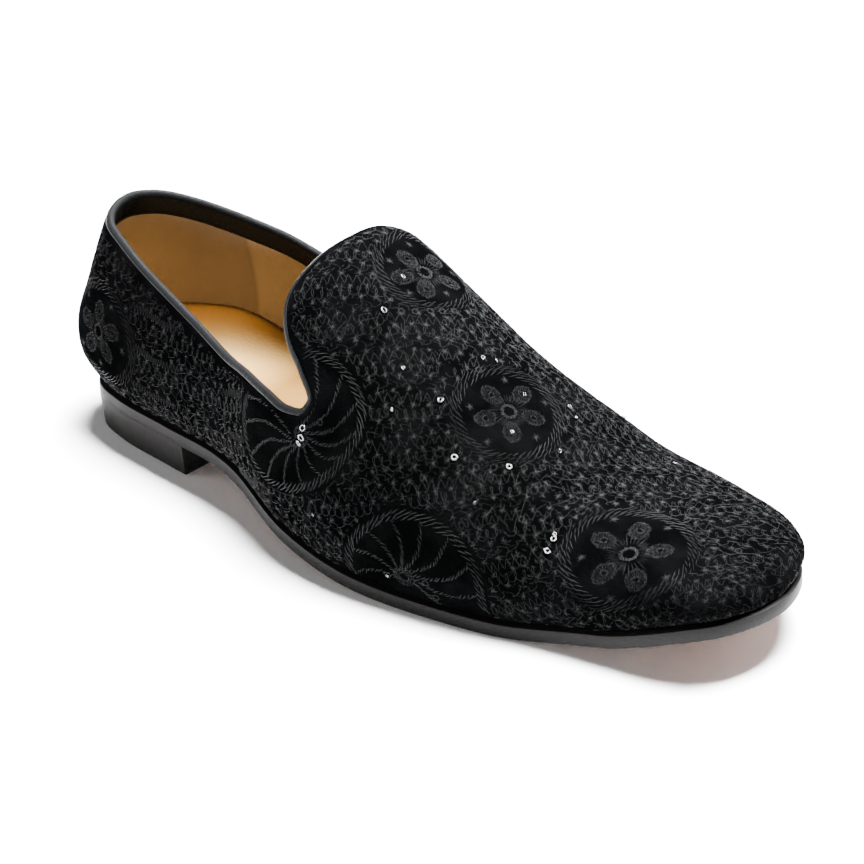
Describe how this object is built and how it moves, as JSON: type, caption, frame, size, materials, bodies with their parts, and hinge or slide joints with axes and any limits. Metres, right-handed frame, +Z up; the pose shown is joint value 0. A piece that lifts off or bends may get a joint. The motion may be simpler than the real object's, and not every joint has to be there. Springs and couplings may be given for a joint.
{
  "type": "mojari",
  "caption": "Low slip-on shoe for the right foot: embroidered one-piece upper with a raised tongue, bound collar, thin sprung outsole and low heel block.",
  "frame": {"origin": "on the ground, under the middle of the shoe's bounding box", "axes": "+X towards the toe, +Y towards the inner side of the foot, +Z up"},
  "size_m": [0.3044, 0.104, 0.0981],
  "materials": {
    "outsole": "black edge dressing, satin",
    "heel": "stacked, black edge dressing, satin",
    "insole": "tan sock leather, matt",
    "upper": "black velvet outside with tone on tone embroidery, tan leather lining inside",
    "topline_binding": "thin black leather, semi gloss"
  },
  "bodies": {
    "root": {"outsole": "outsole", "heel": "heel", "insole": "insole", "upper": "upper", "topline_binding": "topline_binding"}
  },
  "joints": []
}
